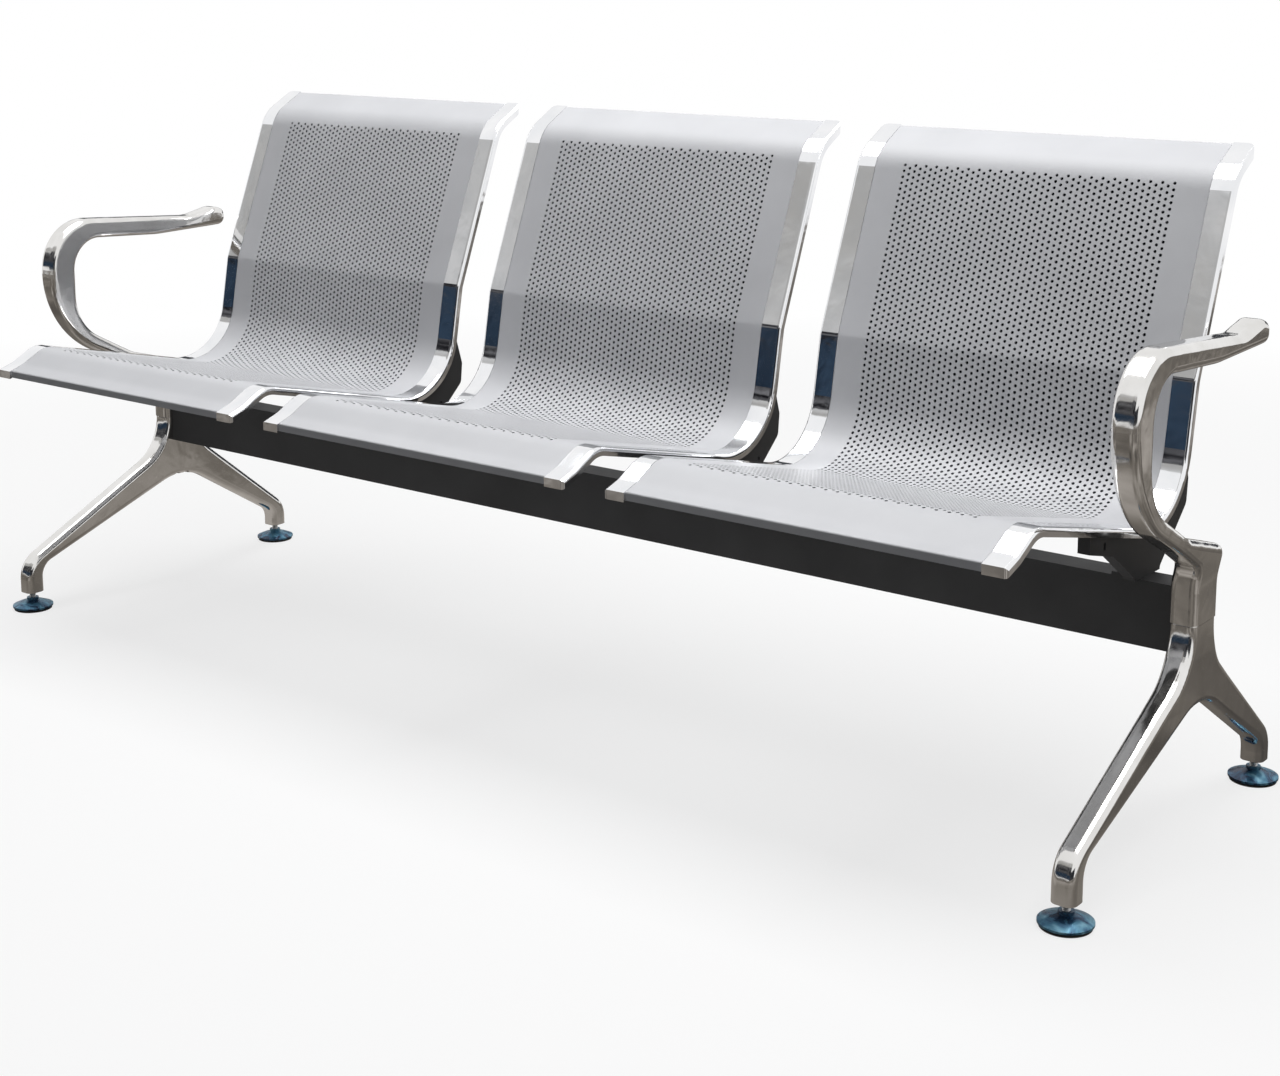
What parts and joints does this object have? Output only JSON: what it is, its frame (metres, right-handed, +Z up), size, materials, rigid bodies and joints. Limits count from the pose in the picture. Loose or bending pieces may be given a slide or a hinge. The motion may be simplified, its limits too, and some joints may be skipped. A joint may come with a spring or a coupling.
{
  "type": "beam seating",
  "caption": "Beam seating: formed perforated-sheet seats between bright side rails on a black beam, with cast Y legs, C armrests and levelling feet.",
  "frame": {"origin": "bottom centre of the bench's box, on the floor", "axes": "+X along the row to a sitter's left, +Y to the back, +Z up"},
  "size_m": [1.872, 0.614, 0.796],
  "materials": {
    "shell_coat": "silver-grey powder coat, satin",
    "bright_rail": "polished and bright plated",
    "bright_casting": "polished and bright plated casting",
    "black_coat": "matt black powder coat",
    "zinc_steel": "zinc plated",
    "filmed_disc": "bright plated under a blue protective film",
    "pad_rubber": "matt black"
  },
  "bodies": {
    "root": {"beam": "black_coat", "beam_tapping_plates": "zinc_steel", "seat_shell_1": "shell_coat", "rail_left_1": "bright_rail", "bracket_left_1": "black_coat", "rail_right_1": "bright_rail", "bracket_right_1": "black_coat", "bracket_bolts_1": "zinc_steel", "rail_screws_1": "zinc_steel", "seat_shell_2": "shell_coat", "rail_left_2": "bright_rail", "bracket_left_2": "black_coat", "rail_right_2": "bright_rail", "bracket_right_2": "black_coat", "bracket_bolts_2": "zinc_steel", "rail_screws_2": "zinc_steel", "seat_shell_3": "shell_coat", "rail_left_3": "bright_rail", "bracket_left_3": "black_coat", "rail_right_3": "bright_rail", "bracket_right_3": "black_coat", "bracket_bolts_3": "zinc_steel", "rail_screws_3": "zinc_steel", "leg_left": "bright_casting", "armrest_left": "bright_casting", "clamp_bolts_left": "zinc_steel", "leg_right": "bright_casting", "armrest_right": "bright_casting", "clamp_bolts_right": "zinc_steel"},
    "glide_front_left": {"foot_disc_front_left": "filmed_disc", "foot_pad_front_left": "pad_rubber"},
    "stud_front_left": {"foot_stud_front_left": "zinc_steel"},
    "glide_rear_left": {"foot_disc_rear_left": "filmed_disc", "foot_pad_rear_left": "pad_rubber"},
    "stud_rear_left": {"foot_stud_rear_left": "zinc_steel"},
    "glide_front_right": {"foot_disc_front_right": "filmed_disc", "foot_pad_front_right": "pad_rubber"},
    "stud_front_right": {"foot_stud_front_right": "zinc_steel"},
    "glide_rear_right": {"foot_disc_rear_right": "filmed_disc", "foot_pad_rear_right": "pad_rubber"},
    "stud_rear_right": {"foot_stud_rear_right": "zinc_steel"}
  },
  "joints": [
    {"name": "level_front_left", "type": "slide", "parent": "root", "child": "glide_front_left", "axis": [0, 0, 1], "range_m": [-0.012, 0.006]},
    {"name": "stud_turn_front_left", "type": "hinge", "parent": "glide_front_left", "child": "stud_front_left", "pos_m": [-0.905, -0.236, 0.03], "axis": [0, 0, 1], "range_deg": [-2890, 1450]},
    {"name": "level_rear_left", "type": "slide", "parent": "root", "child": "glide_rear_left", "axis": [0, 0, 1], "range_m": [-0.012, 0.006]},
    {"name": "stud_turn_rear_left", "type": "hinge", "parent": "glide_rear_left", "child": "stud_rear_left", "pos_m": [-0.905, 0.276, 0.03], "axis": [0, 0, 1], "range_deg": [-2890, 1450]},
    {"name": "level_front_right", "type": "slide", "parent": "root", "child": "glide_front_right", "axis": [0, 0, 1], "range_m": [-0.012, 0.006]},
    {"name": "stud_turn_front_right", "type": "hinge", "parent": "glide_front_right", "child": "stud_front_right", "pos_m": [0.905, -0.236, 0.03], "axis": [0, 0, 1], "range_deg": [-2890, 1450]},
    {"name": "level_rear_right", "type": "slide", "parent": "root", "child": "glide_rear_right", "axis": [0, 0, 1], "range_m": [-0.012, 0.006]},
    {"name": "stud_turn_rear_right", "type": "hinge", "parent": "glide_rear_right", "child": "stud_rear_right", "pos_m": [0.905, 0.276, 0.03], "axis": [0, 0, 1], "range_deg": [-2890, 1450]}
  ],
  "couplings": [
    {"joint": "stud_turn_front_left", "follows": "level_front_left", "rad_per_m": 4188.8},
    {"joint": "stud_turn_rear_left", "follows": "level_rear_left", "rad_per_m": 4188.8},
    {"joint": "stud_turn_front_right", "follows": "level_front_right", "rad_per_m": 4188.8},
    {"joint": "stud_turn_rear_right", "follows": "level_rear_right", "rad_per_m": 4188.8}
  ]
}
